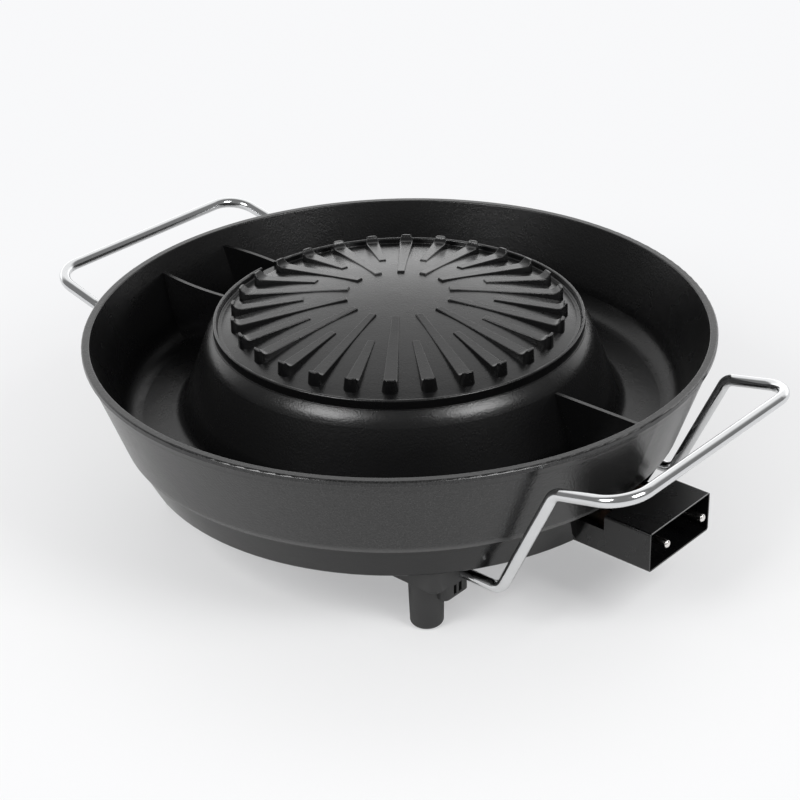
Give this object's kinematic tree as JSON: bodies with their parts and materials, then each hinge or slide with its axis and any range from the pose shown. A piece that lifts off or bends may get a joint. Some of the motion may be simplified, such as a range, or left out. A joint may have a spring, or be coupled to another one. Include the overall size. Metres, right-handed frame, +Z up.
{
  "type": "electric hot pot",
  "caption": "Table-top electric pan: a ribbed grill dome in the middle of a round soup moat, with wire handles, moulded feet and a boxed socket for a plug-in thermostat.",
  "frame": {"origin": "middle of the pan, on the surface that its feet stand on", "axes": "+X through the connector and the right handle, +Z up, +Y completes a right-handed frame"},
  "size_m": [0.4586, 0.38, 0.1401],
  "materials": {
    "nonstick_casting": "cast aluminium under a black non-stick coating, fine powder grain outside",
    "chromed_wire": "bright chrome plate",
    "phenolic": "moulded phenolic resin, dull black",
    "black_sheet": "folded steel sheet, black enamel with bare cut edges",
    "nickel_pin": "nickel plate, polished",
    "heater_sheath": "steel sheath with a dark heat oxide",
    "ceramic_bush": "brown-glazed porcelain",
    "bare_steel": "bare sheet, satin",
    "aluminised_sheet": "pressed aluminised sheet, dull",
    "zinc_fastener": "zinc plate"
  },
  "bodies": {
    "root": {"pan_body": "nonstick_casting", "handle_right": "chromed_wire", "handle_left": "chromed_wire", "leg_front_right": "phenolic", "leg_back_right": "phenolic", "leg_front_left": "phenolic", "leg_back_left": "phenolic", "connector_shroud": "black_sheet", "terminal_pin_front": "nickel_pin", "terminal_pin_back": "nickel_pin", "heating_element": "heater_sheath", "terminal_insulator_front": "ceramic_bush", "terminal_insulator_back": "ceramic_bush", "terminal_plate": "bare_steel", "probe_sleeve": "bare_steel", "heat_shield": "aluminised_sheet", "heat_shield_screws": "zinc_fastener", "leg_screws": "zinc_fastener", "leg_washers": "zinc_fastener", "handle_clamp_screws": "zinc_fastener", "shroud_screws": "zinc_fastener", "shroud_washers": "zinc_fastener", "element_clips": "bare_steel", "element_clip_screws": "zinc_fastener"}
  },
  "joints": []
}
